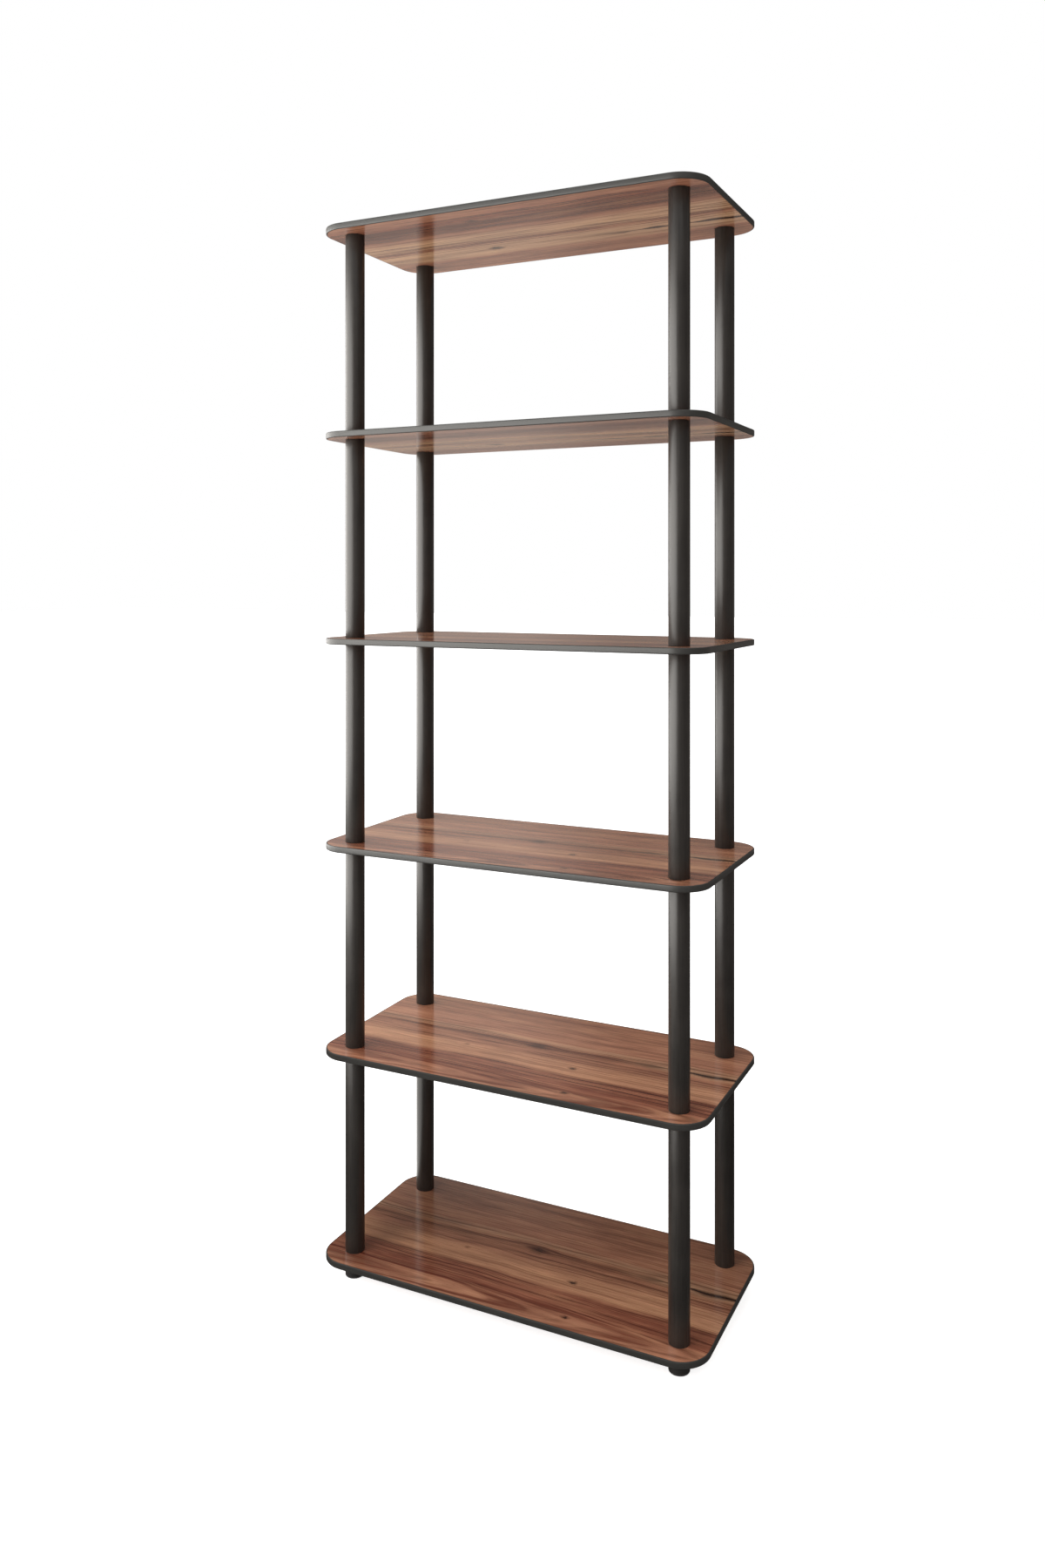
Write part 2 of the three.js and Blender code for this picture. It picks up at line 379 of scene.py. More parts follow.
strength_zones = [(middle, grey(value)) for middle, value in STRONG_AND_FAINT]
strength = add_node(tree, "ShaderNodeValToRGB", {0: zone}, stops=zone_ramp(strength_zones))
fade_place = add_node(tree, "ShaderNodeVectorMath", {0: place, 1: FADE_SCALES}, operation="MULTIPLY")
fade = add_node(tree, "ShaderNodeTexNoise", {"Vector": fade_place, "Scale": 1, "Detail": 2})
fade = add_node(
    tree,
    "ShaderNodeMapRange",
    {"Value": fade, "From Min": FADE_START, "From Max": FADE_END, "To Min": FAINTEST},
    interpolation_type="SMOOTHSTEP",
)
strength = add_node(tree, "ShaderNodeMath", {0: strength, 1: fade}, operation="MULTIPLY")
for spacing, stray, start, darkness in LINE_SCALES:
    turns = add_node(tree, "ShaderNodeMath", {0: ring, 1: spacing}, operation="DIVIDE")
    astray = add_node(
        tree, "ShaderNodeTexNoise", {"W": turns, "Scale": LINE_WANDER, "Detail": 2}, noise_dimensions="1D"
    )
    turns = add_node(tree, "ShaderNodeMath", {0: astray, 1: stray, 2: turns}, operation="MULTIPLY_ADD")
    turns = add_node(tree, "ShaderNodeMath", {0: turns, 1: math.tau}, operation="MULTIPLY")
    line = add_node(tree, "ShaderNodeMath", {0: turns}, operation="SINE")
    line = add_node(
        tree,
        "ShaderNodeMapRange",
        {"Value": line, "From Min": start, "From Max": 1, "To Max": darkness},
        interpolation_type="SMOOTHSTEP",
    )
    line = add_node(tree, "ShaderNodeMath", {0: line, 1: strength}, operation="MULTIPLY")
    colour = add_node(
        tree, "ShaderNodeMix", {"Factor": line, "A": colour, "B": LINE_BROWN}, "Result", data_type="RGBA"
    )
print("growth lines every", [row[0] for row in LINE_SCALES], "mm")

# %% Walnut decor: arches along the front
# The rings nearest the heart show as nested arches. Each has a distance from the axis in mm.
ARCH_RINGS = (11.0, 20.5, 30.0)
ARCH_HALF_WIDTH = 3.0
ARCH_DEPTH = 0.8
ARCH_LEAST = 0.65  # how much of an arch stays where lines fade
ARCH_RED = linear("#5E2A1C")

arch = 0
for distance in ARCH_RINGS:
    apart = add_node(tree, "ShaderNodeMath", {0: ring, 1: distance}, operation="SUBTRACT")
    apart = add_node(tree, "ShaderNodeMath", {0: apart}, operation="ABSOLUTE")
    band = add_node(
        tree,
        "ShaderNodeMapRange",
        {"Value": apart, "From Max": ARCH_HALF_WIDTH, "To Min": ARCH_DEPTH, "To Max": 0},
        interpolation_type="SMOOTHSTEP",
    )
    arch = add_node(tree, "ShaderNodeMath", {0: band, 1: arch}, operation="MAXIMUM")
arch_fade = add_node(tree, "ShaderNodeMath", {0: fade, 1: ARCH_LEAST}, operation="MAXIMUM")
arch = add_node(tree, "ShaderNodeMath", {0: arch, 1: arch_fade}, operation="MULTIPLY")
colour = add_node(
    tree, "ShaderNodeMix", {"Factor": arch, "A": colour, "B": ARCH_RED}, "Result", data_type="RGBA"
)
print("arches:", len(ARCH_RINGS))

# %% Walnut decor: fibres and pores
# Real fibres and pores are under 0.2 mm wide, too fine to show at this size. So fibres are drawn 55 mm long
# and 1.6 mm wide, and pores 9 mm long and 0.9 mm wide.
NOISE_LOW, NOISE_HIGH = 0.3, 0.7  # nearly all values of a noise lie between them
FIBRE_SCALES = (1 / 55, 1 / 1.6, 1 / 40)
FIBRE_DARK, FIBRE_PALE = 0.78, 1.2
PORE_SCALES = (1 / 9, 1 / 0.9, 1 / 40)
PORE_START, PORE_END, PORE_DEPTH = 0.62, 0.78, 0.35

grain_place = add_node(tree, "ShaderNodeCombineXYZ", {0: along, 1: across, 2: up})
fibre_place = add_node(
    tree, "ShaderNodeVectorMath", {0: grain_place, 1: FIBRE_SCALES}, operation="MULTIPLY"
)
fibre = add_node(
    tree, "ShaderNodeTexNoise", {"Vector": fibre_place, "Scale": 1, "Detail": 3, "Roughness": 0.6}
)
fibre_shade = add_node(
    tree,
    "ShaderNodeMapRange",
    {
        "Value": fibre,
        "From Min": NOISE_LOW,
        "From Max": NOISE_HIGH,
        "To Min": FIBRE_DARK,
        "To Max": FIBRE_PALE,
    },
)
colour = add_node(tree, "ShaderNodeVectorMath", {0: colour, "Scale": fibre_shade}, operation="SCALE")
pore_place = add_node(
    tree, "ShaderNodeVectorMath", {0: grain_place, 1: PORE_SCALES}, operation="MULTIPLY"
)
pore = add_node(tree, "ShaderNodeTexNoise", {"Vector": pore_place, "Scale": 1, "Detail": 1})
pore = add_node(
    tree,
    "ShaderNodeMapRange",
    {"Value": pore, "From Min": PORE_START, "From Max": PORE_END, "To Max": PORE_DEPTH},
)
colour = add_node(
    tree, "ShaderNodeMix", {"Factor": pore, "A": colour, "B": LINE_BROWN}, "Result", data_type="RGBA"
)
print("fibre shades:", FIBRE_DARK, "to", FIBRE_PALE)

# %% Walnut decor: the split towards the right end
# Pale wood lies along it, its line wavers over a few millimetres, and it opens and closes as it goes.
SPLIT_ACROSS = 19.0
SPLIT_WAVER = 6.0
SPLIT_WAVER_LENGTH = 75.0
LOWER_SPLIT_SHIFT = -33.0  # it lies further back on the lower face
LOWER_SPLIT_LEAD = 70.0  # and starts this much earlier there
SPLIT_START, SPLIT_END = 90.0, 245.0  # it darkens from nothing to full over this stretch
SPLIT_NARROW, SPLIT_WIDE = 2.5, 10.0  # half widths, where it is closed and open
SPLIT_CLOSED, SPLIT_OPEN = 0.35, 0.6  # values of a noise that stand for these two
SPLIT_OPEN_LENGTH = 60.0
HALO_HALF_WIDTH, HALO_DEPTH = 17.0, 0.7
SPLIT_BROWN = linear("#26110A")

waver = add_node(tree, "ShaderNodeMath", {0: along, 1: SPLIT_WAVER_LENGTH}, operation="DIVIDE")
waver = add_node(
    tree, "ShaderNodeTexNoise", {"W": waver, "Scale": 1, "Detail": 1}, noise_dimensions="1D"
)
split = add_node(
    tree,
    "ShaderNodeMapRange",
    {"Value": waver, "To Min": SPLIT_ACROSS - SPLIT_WAVER, "To Max": SPLIT_ACROSS + SPLIT_WAVER},
    clamp=False,
)
split = add_node(tree, "ShaderNodeMath", {0: straight_across, 1: split}, operation="SUBTRACT")
split = add_node(
    tree, "ShaderNodeMath", {0: lower_face, 1: LOWER_SPLIT_SHIFT, 2: split}, operation="MULTIPLY_ADD"
)
split = add_node(tree, "ShaderNodeMath", {0: split}, operation="ABSOLUTE")
reach = add_node(
    tree, "ShaderNodeMath", {0: lower_face, 1: LOWER_SPLIT_LEAD, 2: along}, operation="MULTIPLY_ADD"
)
reach = add_node(
    tree,
    "ShaderNodeMapRange",
    {"Value": reach, "From Min": SPLIT_START, "From Max": SPLIT_END},
    interpolation_type="SMOOTHSTEP",
)
opening = add_node(tree, "ShaderNodeMath", {0: along, 1: SPLIT_OPEN_LENGTH}, operation="DIVIDE")
opening = add_node(
    tree, "ShaderNodeTexNoise", {"W": opening, "Scale": 1, "Detail": 0}, noise_dimensions="1D"
)
opening = add_node(
    tree,
    "ShaderNodeMapRange",
    {
        "Value": opening,
        "From Min": SPLIT_CLOSED,
        "From Max": SPLIT_OPEN,
        "To Min": SPLIT_NARROW,
        "To Max": SPLIT_WIDE,
    },
)
for width, depth, tint in ((HALO_HALF_WIDTH, HALO_DEPTH, TAN), (opening, 1, SPLIT_BROWN)):
    band = add_node(
        tree,
        "ShaderNodeMapRange",
        {"Value": split, "From Max": width, "To Min": depth, "To Max": 0},
        interpolation_type="SMOOTHSTEP",
    )
    band = add_node(tree, "ShaderNodeMath", {0: band, 1: reach}, operation="MULTIPLY")
    colour = add_node(
        tree, "ShaderNodeMix", {"Factor": band, "A": colour, "B": tint}, "Result", data_type="RGBA"
    )
colour = add_node(
    tree, "ShaderNodeMix", {"Factor": knot_heart, "A": colour, "B": SPLIT_BROWN}, "Result", data_type="RGBA"
)
print("split from", SPLIT_START, "to", SPLIT_END, "mm along, and hearts of knots")

# %% Walnut decor: the clear melamine face
# Pressed melamine is almost a mirror at a low angle. Its relief is the paper's, a few hundredths of a mm.
MELAMINE_IOR = 1.5
GLOSSIEST, DULLEST = 0.1, 0.2
PAPER_RELIEF = 0.05 * MM
PAPER_RELIEF_STRENGTH = 0.04

roughness = add_node(
    tree, "ShaderNodeMapRange", {"Value": fibre, "To Min": GLOSSIEST, "To Max": DULLEST}
)
relief = add_node(
    tree,
    "ShaderNodeBump",
    {"Height": fibre, "Strength": PAPER_RELIEF_STRENGTH, "Distance": PAPER_RELIEF},
)
surface = add_node(
    tree,
    "ShaderNodeBsdfPrincipled",
    {"Base Color": colour, "Roughness": roughness, "IOR": MELAMINE_IOR, "Normal": relief},
)
add_node(tree, "ShaderNodeOutputMaterial", {"Surface": surface}, output=None)
print("walnut decor:", len(tree.nodes), "nodes")

# %% [markdown]
# ## Charcoal plastics
#
# Tubes and edge strips are extruded PVC with carbon black in it. The die leaves faint lines along the
# length and a satin skin, so a window gives a broad soft highlight and not a sharp one. Feet, caps and plugs
# are injection moulded, with a finer, more even mat. The three differ only in a few values, so one function
# makes them all, and the stretch of the pattern tells an extrusion from a moulding.

# %% Charcoal plastics
PVC_IOR = 1.53
SMUDGE_SCALE = 22  # per metre, so handling marks are about 45 mm wide
SMUDGE_SHARE = 0.35
DARK_STOP, PALE_STOP = 0.35, 0.65  # where on the pattern a tint is fully dark and fully pale
SHEEN_SPREAD = 0.05  # of the roughness, to either side
GRAIN_STRENGTH = 0.3


def charcoal_plastic(name, dark, pale, grain_mm, roughness, relief_mm):
    """A carbon-black plastic whose fine grain has the given lengths along x, y and z, in mm."""
    material, tree = new_material(name)
    place = add_node(tree, "ShaderNodeTexCoord", output="Object")
    grain_place = add_node(
        tree,
        "ShaderNodeVectorMath",
        {0: place, 1: tuple(1 / (side * MM) for side in grain_mm)},
        operation="MULTIPLY",
    )
    grain = add_node(
        tree, "ShaderNodeTexNoise", {"Vector": grain_place, "Scale": 1, "Detail": 3, "Roughness": 0.6}
    )
    smudge = add_node(tree, "ShaderNodeTexNoise", {"Vector": place, "Scale": SMUDGE_SCALE, "Detail": 3})
    blend = add_node(tree, "ShaderNodeMix", {"Factor": SMUDGE_SHARE, "A": grain, "B": smudge}, "Result")
    stops = [(DARK_STOP, linear(dark)), (PALE_STOP, linear(pale))]
    tint = add_node(tree, "ShaderNodeValToRGB", {0: blend}, stops=stops)
    sheen = add_node(
        tree,
        "ShaderNodeMapRange",
        {
            "Value": blend,
            "From Min": NOISE_LOW,
            "From Max": NOISE_HIGH,
            "To Min": roughness - SHEEN_SPREAD,
            "To Max": roughness + SHEEN_SPREAD,
        },
    )
    relief = add_node(
        tree,
        "ShaderNodeBump",
        {"Height": grain, "Strength": GRAIN_STRENGTH, "Distance": relief_mm * MM},
    )
    surface = add_node(
        tree,
        "ShaderNodeBsdfPrincipled",
        {"Base Color": tint, "Roughness": sheen, "IOR": PVC_IOR, "Normal": relief},
    )
    add_node(tree, "ShaderNodeOutputMaterial", {"Surface": surface}, output=None)
    return material


# Each has a dark and a pale tint, the lengths of its grain in mm, a roughness, and its relief in mm. Grain
# finer than about 0.8 mm wouldn't show, so the die's lines and the mould's mat are drawn that coarse.
TUBE_PVC = charcoal_plastic("extruded_pvc_tube", "#1B1816", "#2C2824", (0.9, 0.9, 70), 0.38, 0.08)
TRIM_PVC = charcoal_plastic("extruded_pvc_edge_strip", "#272624", "#302F2C", (60, 60, 0.8), 0.44, 0.04)
MOULDED_PLASTIC = charcoal_plastic("moulded_plastic", "#1F1E1D", "#282726", (0.8, 0.8, 0.8), 0.5, 0.05)
print("charcoal plastics: 3")

# %% [markdown]
# ## Loops and spins
#
# All the pieces that are built here are one of two forms. Boards and edge strips follow the rounded
# outline of the shelf, so they are built from loops: the outline is drawn at several distances in and
# heights, and bridged. Tubes, feet and caps are round, so their profile is drawn once and spun. Every piece
# is checked to be closed before it takes its node's place.

# %% Sizes from the frame
board_low, board_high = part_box("shelf_board_1")
shelf_low, shelf_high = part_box("edge_trim_1")
tube_low, tube_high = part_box("tube_front_left_1")
foot_low, foot_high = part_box("foot_front_left")
cap_low, cap_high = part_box("cap_front_left")

SHELF_LENGTH = shelf_high.x - shelf_low.x
SHELF_DEPTH = shelf_high.y - shelf_low.y
BOARD_THICKNESS = board_high.z - board_low.z
TUBE_RADIUS = (tube_high.x - tube_low.x) / 2
TUBE_LENGTH = tube_high.z - tube_low.z
POST_X = (tube_high.x + tube_low.x) / 2
POST_Y = (tube_high.y + tube_low.y) / 2
CORNER_RADIUS = POST_X - shelf_low.x  # a post stands at the centre of its corner's arc
TRIM_THICKNESS = board_low.x - shelf_low.x
SHELVES = 6
print("shelf:", round(SHELF_LENGTH / MM), "x", round(SHELF_DEPTH / MM), "mm")
print("corner radius:", round(CORNER_RADIUS / MM, 1), "mm")

# %% Helpers for meshes
CORNER_FACETS = 16
ROUND_FACETS = 56
LOOP_GAP = 10 * MM
DOUBLES_APART = 0.001 * MM
SHARP_ANGLE = math.radians(35)


def rounded_loop(bm, inset, z):
    """Draws the shelf's outline, brought in by a distance, at a height. Returns its edges."""
    known = set(bm.edges)
    size = Matrix.Diagonal((SHELF_LENGTH - 2 * inset, SHELF_DEPTH - 2 * inset, 1, 1))
    place = Matrix.Translation((0, 0, z)) @ size
    corners = bmesh.ops.create_grid(bm, x_segments=1, y_segments=1, size=0.5, matrix=place)["verts"]
    bmesh.ops.bevel(
        bm,
        geom=corners,
        offset=CORNER_RADIUS - inset,
        segments=CORNER_FACETS,
        profile=0.5,
        affect="VERTICES",
        material=-1,
    )
    loop = [edge for edge in bm.edges if edge not in known]
    faces = list({face for edge in loop for face in edge.link_faces})
    bmesh.ops.delete(bm, geom=faces, context="FACES_ONLY")
    return loop


def bridged_loops(bm, profile, closed):
    """Bridges loops of the outline, one for each (inset, height) of a profile. Returns the loops."""
    # Two loops at one height can be bridged the wrong way round, so they are drawn apart at first.
    loops = [rounded_loop(bm, inset, LOOP_GAP * number) for number, (inset, z) in enumerate(profile)]
    following = loops[1:] + loops[:1] if closed else loops[1:]
    for one, other in zip(loops, following):
        bmesh.ops.bridge_loops(bm, edges=one + other)
    for loop, (inset, z) in zip(loops, profile):
        for vertex in {vertex for edge in loop for vertex in edge.verts}:
            vertex.co.z = z
    return loops


def finish_piece(bm, name, material, node):
    """Turns a closed bmesh into the piece that stands for a node of the frame."""
    bmesh.ops.remove_doubles(bm, verts=bm.verts, dist=DOUBLES_APART)
    bmesh.ops.recalc_face_normals(bm, faces=bm.faces)
    open_edges = sum(not edge.is_manifold for edge in bm.edges)
    if open_edges:
        raise ValueError(f"{name} has {open_edges} edges that aren't closed")
    for face in bm.faces:
        face.smooth = True
    for edge in bm.edges:
        edge.smooth = edge.calc_face_angle() < SHARP_ANGLE
    mesh = bpy.data.meshes.new(name)
    bm.to_mesh(mesh)
    bm.free()
    mesh.materials.append(material)
    piece = bpy.data.objects.new(name, mesh)
    bpy.context.collection.objects.link(piece)
    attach(piece, "root")
    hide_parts(node)
    return piece


def spun_piece(name, profile, x, y, z, material, node):
    """Spins a profile of (radius, height) points that ends on its upright axis or closes to a ring."""
    bm = bmesh.new()
    points = [bm.verts.new((x + radius, y, z + height)) for radius, height in profile]
    pairs = list(zip(points, points[1:]))
    is_ring = profile[0][0] > 0
    if is_ring:
        pairs.append((points[-1], points[0]))
    edges = [bm.edges.new(pair) for pair in pairs]
    bmesh.ops.spin(
        bm,
        geom=points + edges,
        cent=(x, y, 0),
        axis=(0, 0, 1),
        angle=math.tau,
        steps=ROUND_FACETS,
        use_merge=True,
        use_duplicate=False,
    )
    return finish_piece(bm, name, material, node)


def quarter_round(start, end, steps):
    """Points of a quarter of an ellipse that leaves start upright and reaches end level."""
    (r0, z0), (r1, z1) = start, end
    angles = [math.pi / 2 * i / steps for i in range(steps + 1)]
    return [(r1 + (r0 - r1) * math.cos(a), z0 + (z1 - z0) * math.sin(a)) for a in angles]


# %% [markdown]
# ## Shelf boards
#
# A board is a plate with a stud hole at each post and a groove round its edge for the strip's tongue. The
# plate's two faces are filled between the outline and the four holes, and its edge is bridged from loop to
# loop, in and out of the groove.

# %% Shelf boards
HOLE_RADIUS = 6.5 * MM
HOLE_FACETS = 32
GROOVE_DEPTH = 6.5 * MM
GROOVE_HEIGHT = 2.0 * MM
BOARD_INSET = TRIM_THICKNESS


def shelf_board(number):
    """The grooved board of one shelf, with a hole at each post."""
    node = f"shelf_board_{number}"
    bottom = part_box(node)[0].z
    top = bottom + BOARD_THICKNESS
    groove_low = bottom + (BOARD_THICKNESS - GROOVE_HEIGHT) / 2
    groove_high = groove_low + GROOVE_HEIGHT
    bm = bmesh.new()
    edge_profile = [
        (BOARD_INSET, bottom),
        (BOARD_INSET, groove_low),
        (BOARD_INSET + GROOVE_DEPTH, groove_low),
        (BOARD_INSET + GROOVE_DEPTH, groove_high),
        (BOARD_INSET, groove_high),
        (BOARD_INSET, top),
    ]
    loops = bridged_loops(bm, edge_profile, closed=False)
    rims = {bottom: loops[0], top: loops[-1]}
    hole_rims = []
    for x in (-POST_X, POST_X):
        for y in (-POST_Y, POST_Y):
            pair = []
            for z in (bottom, top):
                known = set(bm.edges)
                bmesh.ops.create_circle(
                    bm,
                    cap_ends=False,
                    segments=HOLE_FACETS,
                    radius=HOLE_RADIUS,
                    matrix=Matrix.Translation((x, y, z)),
                )
                rim = [edge for edge in bm.edges if edge not in known]
                rims[z] = rims[z] + rim
                pair.append(rim)
            hole_rims.append(pair)
    for rim in rims.values():
        bmesh.ops.triangle_fill(bm, use_beauty=True, use_dissolve=False, edges=rim)
    for lower, upper in hole_rims:
        bmesh.ops.bridge_loops(bm, edges=lower + upper)
    return finish_piece(bm, f"walnut_board_{number}", walnut, node)


boards = [shelf_board(number) for number in range(1, SHELVES + 1)]
print("boards:", len(boards), "with", len(boards[0].data.polygons), "faces each")

# %% [markdown]
# ## Edge strips
#
# The strip is flexible PVC: a soft bull-nosed face 2 mm thick, and a tongue that is knocked into the board's
# groove. It runs once round the shelf, and its two ends meet at the middle of the back. Its section is a
# closed profile of insets and heights, so bridging the last loop to the first closes the ring, and a narrow
# slice is then cut out where the ends meet.

# %% Edge strips
EDGE_SETBACK = 1.4 * MM
EDGE_DROP = 1.7 * MM
EDGE_FACETS = 5
BACK_CLEARANCE = 0.15 * MM
STRIP_BACK = TRIM_THICKNESS - BACK_CLEARANCE
TONGUE_DEPTH = 6.0 * MM
TONGUE_TIP = TRIM_THICKNESS + TONGUE_DEPTH
TONGUE_THICKNESS = 1.6 * MM
SEAM = 0.4 * MM


def edge_strip(number):
    """The strip round one shelf, open by a seam at the middle of the back."""
    node = f"edge_trim_{number}"
    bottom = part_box(node)[0].z
    top = bottom + BOARD_THICKNESS
    middle = (bottom + top) / 2
    lower_edge = quarter_round((0, bottom + EDGE_DROP), (EDGE_SETBACK, bottom), EDGE_FACETS)
    upper_edge = quarter_round((0, top - EDGE_DROP), (EDGE_SETBACK, top), EDGE_FACETS)
    profile = [
        (STRIP_BACK, bottom),
        *reversed(lower_edge),
        *upper_edge,
        (STRIP_BACK, top),
        (STRIP_BACK, middle + TONGUE_THICKNESS / 2),
        (TONGUE_TIP, middle + TONGUE_THICKNESS / 2),
        (TONGUE_TIP, middle - TONGUE_THICKNESS / 2),
        (STRIP_BACK, middle - TONGUE_THICKNESS / 2),
    ]
    bm = bmesh.new()
    bridged_loops(bm, profile, closed=True)
    for side in (-1, 1):
        bmesh.ops.bisect_plane(
            bm,
            geom=bm.verts[:] + bm.edges[:] + bm.faces[:],
            plane_co=(side * SEAM / 2, 0, 0),
            plane_no=(1, 0, 0),
        )
    slice_faces = [
        face
        for face in bm.faces
        if abs(face.calc_center_median().x) < SEAM / 2 and face.calc_center_median().y > 0
    ]
    bmesh.ops.delete(bm, geom=slice_faces, context="FACES")
    bmesh.ops.holes_fill(bm, edges=[edge for edge in bm.edges if edge.is_boundary])
    return finish_piece(bm, f"edge_strip_{number}", TRIM_PVC, node)


strips = [edge_strip(number) for number in range(1, SHELVES + 1)]
print("strips:", len(strips), "with", len(strips[0].data.polygons), "faces each")

# %% [markdown]
# ## Post tubes
#
# Each tube is a length of pipe with its saw-cut ends just broken, and a socket glued into the upper end.
# The socket shows only when the bookcase is taken apart, but it is part of the tube, so the profile turns
# inwards at the top and comes back down as the socket's boss.

# %% Post tubes
CORNERS = {
    "front_left": (-1, -1),
    "front_right": (1, -1),
    "back_left": (-1, 1),
    "back_right": (1, 1),
}
POST_AXIS = Vector((abs(POST_X), abs(POST_Y)))
TUBE_WALL = 1.8 * MM
BORE_RADIUS = TUBE_RADIUS - TUBE_WALL
CUT_BREAK = 0.35 * MM
CUT_FACETS = 2
SOCKET_RADIUS = 6.2 * MM
SOCKET_DEPTH = 18 * MM
BOSS_RADIUS = 8.6 * MM
DISC_THICKNESS = 3 * MM

broken_radius = TUBE_RADIUS - CUT_BREAK
lower_break = quarter_round((TUBE_RADIUS, CUT_BREAK), (broken_radius, 0), CUT_FACETS)
upper_break = quarter_round((TUBE_RADIUS, TUBE_LENGTH - CUT_BREAK), (broken_radius, TUBE_LENGTH), CUT_FACETS)
tube_profile = [
    (BORE_RADIUS, 0),
    *reversed(lower_break),
    *upper_break,
    (SOCKET_RADIUS, TUBE_LENGTH),
    (SOCKET_RADIUS, TUBE_LENGTH - SOCKET_DEPTH),
    (BOSS_RADIUS, TUBE_LENGTH - SOCKET_DEPTH),
    (BOSS_RADIUS, TUBE_LENGTH - DISC_THICKNESS),
    (BORE_RADIUS, TUBE_LENGTH - DISC_THICKNESS),
]

tubes = []
for corner, (side_x, side_y) in CORNERS.items():
    for number in range(1, SHELVES):
        node = f"tube_{corner}_{number}"
        lower_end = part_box(node)[0].z
        x, y = side_x * POST_AXIS.x, side_y * POST_AXIS.y
        name = f"pvc_{node}"
        tubes.append(spun_piece(name, tube_profile, x, y, lower_end, TUBE_PVC, node))
print("tubes:", len(tubes))

# %% [markdown]
# ## Feet and caps
#
# A foot is a short moulded drum under the lowest shelf, and a cap is a low dome on the top one. Both are
# injection moulded, so their edges are rounded and not just broken.

# %% Feet and caps
FOOT_HEIGHT = foot_high.z - foot_low.z
FOOT_EDGE = 1.2 * MM
FOOT_EDGE_FACETS = 4
FOOT_FLOOR = 4 * MM
FOOT_WALL = 2.4 * MM
FOOT_BORE = TUBE_RADIUS - FOOT_WALL
CAP_RIM = 3.6 * MM
CAP_HEIGHT = 7 * MM
CAP_REACH = 0.45 * TUBE_RADIUS  # how far in from the rim the dome's curve runs
DOME_FACETS = 7
STUD_RADIUS = 6 * MM
STUD_CHAMFER = 1 * MM
STUD_LENGTH = CAP_HEIGHT - (cap_high.z - cap_low.z)  # below the cap's seat, so negative

foot_edge = quarter_round((TUBE_RADIUS, FOOT_EDGE), (TUBE_RADIUS - FOOT_EDGE, 0), FOOT_EDGE_FACETS)
foot_profile = [
    (0, 0),
    *reversed(foot_edge),
    (TUBE_RADIUS, FOOT_HEIGHT),
    (FOOT_BORE, FOOT_HEIGHT),
    (FOOT_BORE, FOOT_FLOOR),
    (BOSS_RADIUS, FOOT_FLOOR),
    (BOSS_RADIUS, FOOT_HEIGHT),
    (SOCKET_RADIUS, FOOT_HEIGHT),
    (SOCKET_RADIUS, FOOT_HEIGHT - SOCKET_DEPTH),
    (0, FOOT_HEIGHT - SOCKET_DEPTH),
]
cap_profile = [
    (0, STUD_LENGTH),
    (STUD_RADIUS - STUD_CHAMFER, STUD_LENGTH),
    (STUD_RADIUS, STUD_LENGTH + STUD_CHAMFER),
    (STUD_RADIUS, 0),
    (TUBE_RADIUS, 0),
    *quarter_round((TUBE_RADIUS, CAP_RIM), (TUBE_RADIUS - CAP_REACH, CAP_HEIGHT), DOME_FACETS),
    (0, CAP_HEIGHT),
]

mouldings = []
for corner, (side_x, side_y) in CORNERS.items():
    x, y = side_x * POST_AXIS.x, side_y * POST_AXIS.y
    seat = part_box(f"cap_{corner}")[1].z - CAP_HEIGHT
    for kind, profile, z in (("foot", foot_profile, 0), ("cap", cap_profile, seat)):
        node = f"{kind}_{corner}"
        name = f"moulded_{node}"
        mouldings.append(spun_piece(name, profile, x, y, z, MOULDED_PLASTIC, node))
print("feet and caps:", len(mouldings))

# %% [markdown]
# ## Stud plugs
#
# The plugs are sealed inside the tubes, so the frame's own solids stay and only take the moulded finish.

# %% Stud plugs
plugs = [node for name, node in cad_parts.items() if name.startswith("stud_plug")]
for plug in plugs:
    plug.data.materials.clear()
    plug.data.materials.append(MOULDED_PLASTIC)
print("plugs:", len(plugs))

# %% [markdown]
# ## Background, floor and light
#
# The photograph shows the bookcase cut out on white. So the world and the floor are plain white to the
# camera and in reflections, while they light the object at a lower level, and the floor still takes the
# soft shadow of the feet. The highlights on the tubes and strips say where the light was: a tall window at
# the front left, with dim walls all round. Lamps of the window's size give the first. For the second, a
# photographer would hang grey cloths. Those here are grey sheets that glow by themselves, and they show
# only in the shine of the object.

# %% White background
WORLD_NEAR_WINDOW = 1.5  # light from the side of the window
WORLD_FAR = 0.42  # light from the side away from it
WINDOW_SIDE = Vector((-0.65, -0.6, 0.35)).normalized()


def seen_directly(tree):
    """A socket that is 1 where a ray comes straight from the camera, a reflection or glass, and else 0."""
    seen = 0
    for kind in ("Is Camera Ray", "Is Glossy Ray", "Is Transmission Ray"):
        ray = add_node(tree, "ShaderNodeLightPath", output=kind)
        seen = add_node(tree, "ShaderNodeMath", {0: ray, 1: seen}, operation="MAXIMUM")
    return seen


